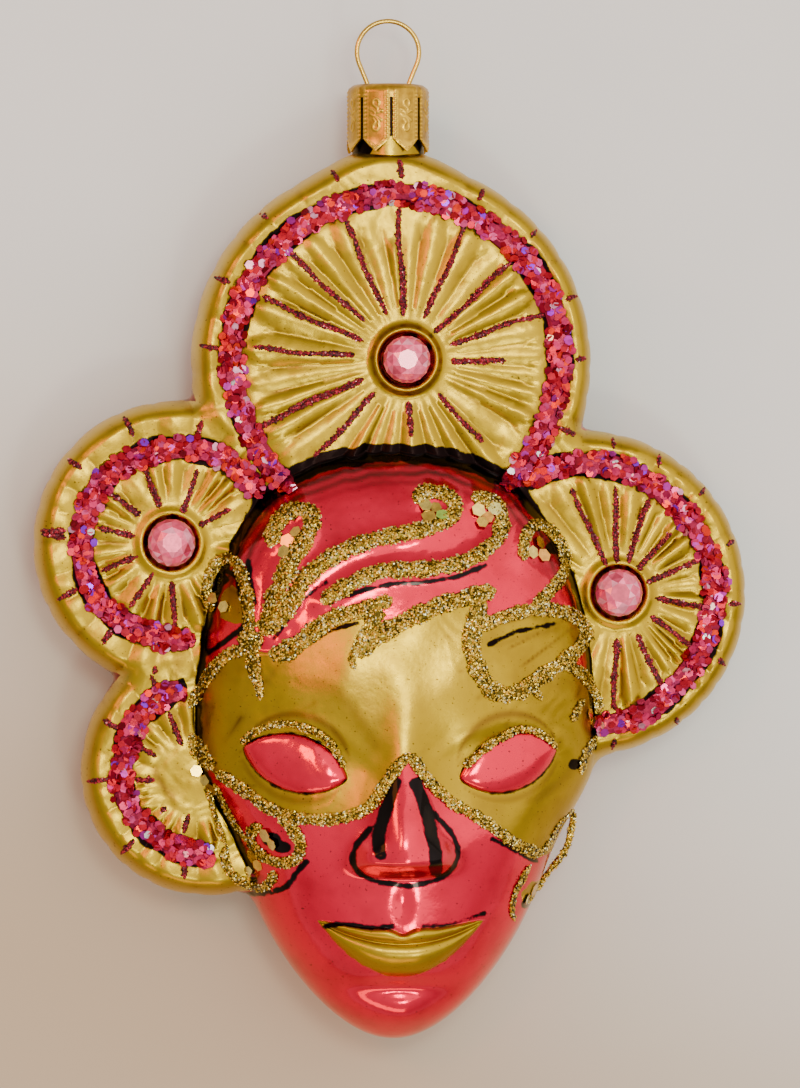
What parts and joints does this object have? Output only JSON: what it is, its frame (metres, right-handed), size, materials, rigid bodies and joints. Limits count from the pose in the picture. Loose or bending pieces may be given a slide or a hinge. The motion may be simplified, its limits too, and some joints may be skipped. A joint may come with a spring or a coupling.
{
  "type": "venetian mask hanging ornament",
  "caption": "Blown-glass hanging ornament shaped as a carnival mask with pleated fans, glitter scrolls, cut stones, a crimped cap and a wire loop.",
  "frame": {"origin": "middle of the bounding box's underside, on the plane that the flat spot of the back rests on", "axes": "+X to the right as seen from the front, +Y from the chin to the hanging loop, +Z out of the face"},
  "size_m": [0.1178, 0.1678, 0.0395],
  "materials": {
    "lacquered_glass": "silvered blown glass lacquered gold, red on the face",
    "stamped_brass": "thin stamped and lacquered sheet",
    "brass_wire": "drawn wire",
    "pink_stone": "faceted and foil backed",
    "pink_glitter": "coarse hexagonal foil flakes in glue",
    "gold_glitter": "fine foil grains in glue"
  },
  "bodies": {
    "root": {"glass_body": "lacquered_glass", "cap": "stamped_brass", "hanger_wire": "brass_wire", "rhinestone_top": "pink_stone", "rhinestone_right": "pink_stone", "rhinestone_upper_left": "pink_stone", "glitter_band_top": "pink_glitter", "glitter_band_right": "pink_glitter", "glitter_band_upper_left": "pink_glitter", "glitter_band_lower_left": "pink_glitter", "gold_trail_crest_left": "gold_glitter", "gold_trail_crest_middle": "gold_glitter", "gold_trail_crest_right": "gold_glitter", "gold_trail_temple_left": "gold_glitter", "gold_trail_temple_right": "gold_glitter", "gold_trail_brow_left": "gold_glitter", "gold_trail_brow_middle": "gold_glitter", "gold_trail_brow_right": "gold_glitter", "gold_trail_nose": "gold_glitter", "gold_trail_cheek_left": "gold_glitter"}
  },
  "joints": []
}
